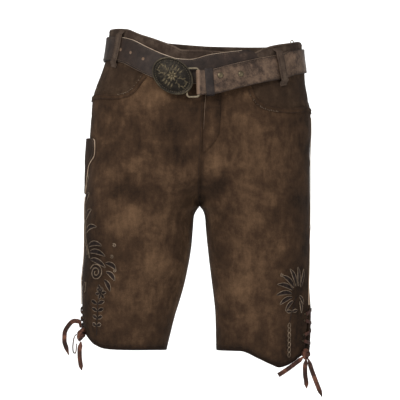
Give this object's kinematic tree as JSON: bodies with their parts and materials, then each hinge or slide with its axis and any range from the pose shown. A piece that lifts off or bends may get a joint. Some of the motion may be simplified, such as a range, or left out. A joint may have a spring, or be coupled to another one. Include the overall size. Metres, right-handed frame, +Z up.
{
  "type": "lederhosen",
  "caption": "Knee-length brown suede lederhosen in hollow worn form, with a leather belt, oval buckle, front pockets, side knife pocket and laced knee slits.",
  "frame": {"origin": "centre of the waist opening, at the mean height of the waistband's two sides", "axes": "+Z up along the legs towards the waist, -Y the front, +X the wearer's left"},
  "size_m": [0.4626, 0.2632, 0.6537],
  "materials": {
    "suede": "napped suede",
    "dark_suede": "napped suede",
    "belt_leather": "worn grain",
    "dark_leather": "worn grain",
    "lace_leather": "smooth",
    "aged_brass": "aged",
    "dark_metal": "dark"
  },
  "bodies": {
    "root": {"back_left": "suede", "back_right": "suede", "belt": "belt_leather", "belt_keeper": "dark_leather", "belt_rivet_1": "dark_metal", "belt_rivet_2": "dark_metal", "buckle_hook": "dark_metal", "buckle_plate": "aged_brass", "buckle_ring": "dark_metal", "fly_flap": "suede", "front_left": "suede", "front_right": "suede", "hip_left": "dark_suede", "hip_right": "dark_suede", "knife_pocket": "dark_suede", "knot_left": "lace_leather", "knot_right": "lace_leather", "lace_left_end": "lace_leather", "lace_left_mid": "lace_leather", "lace_left_strap": "lace_leather", "lace_right_bend": "lace_leather", "lace_right_end": "lace_leather", "lace_right_loop": "lace_leather", "lacing_left_1": "lace_leather", "lacing_left_2": "lace_leather", "lacing_left_3": "lace_leather", "lacing_left_4": "lace_leather", "lacing_right_1": "lace_leather", "lacing_right_2": "lace_leather", "lacing_right_3": "lace_leather", "loop_back_centre": "suede", "loop_back_left": "suede", "loop_back_right": "suede", "loop_front_left": "suede", "loop_front_right": "suede", "pocket_band_left": "suede", "pocket_band_right": "suede", "waist_ring": "aged_brass", "waistband": "suede", "welt_left": "dark_suede", "welt_right": "dark_suede"}
  },
  "joints": []
}
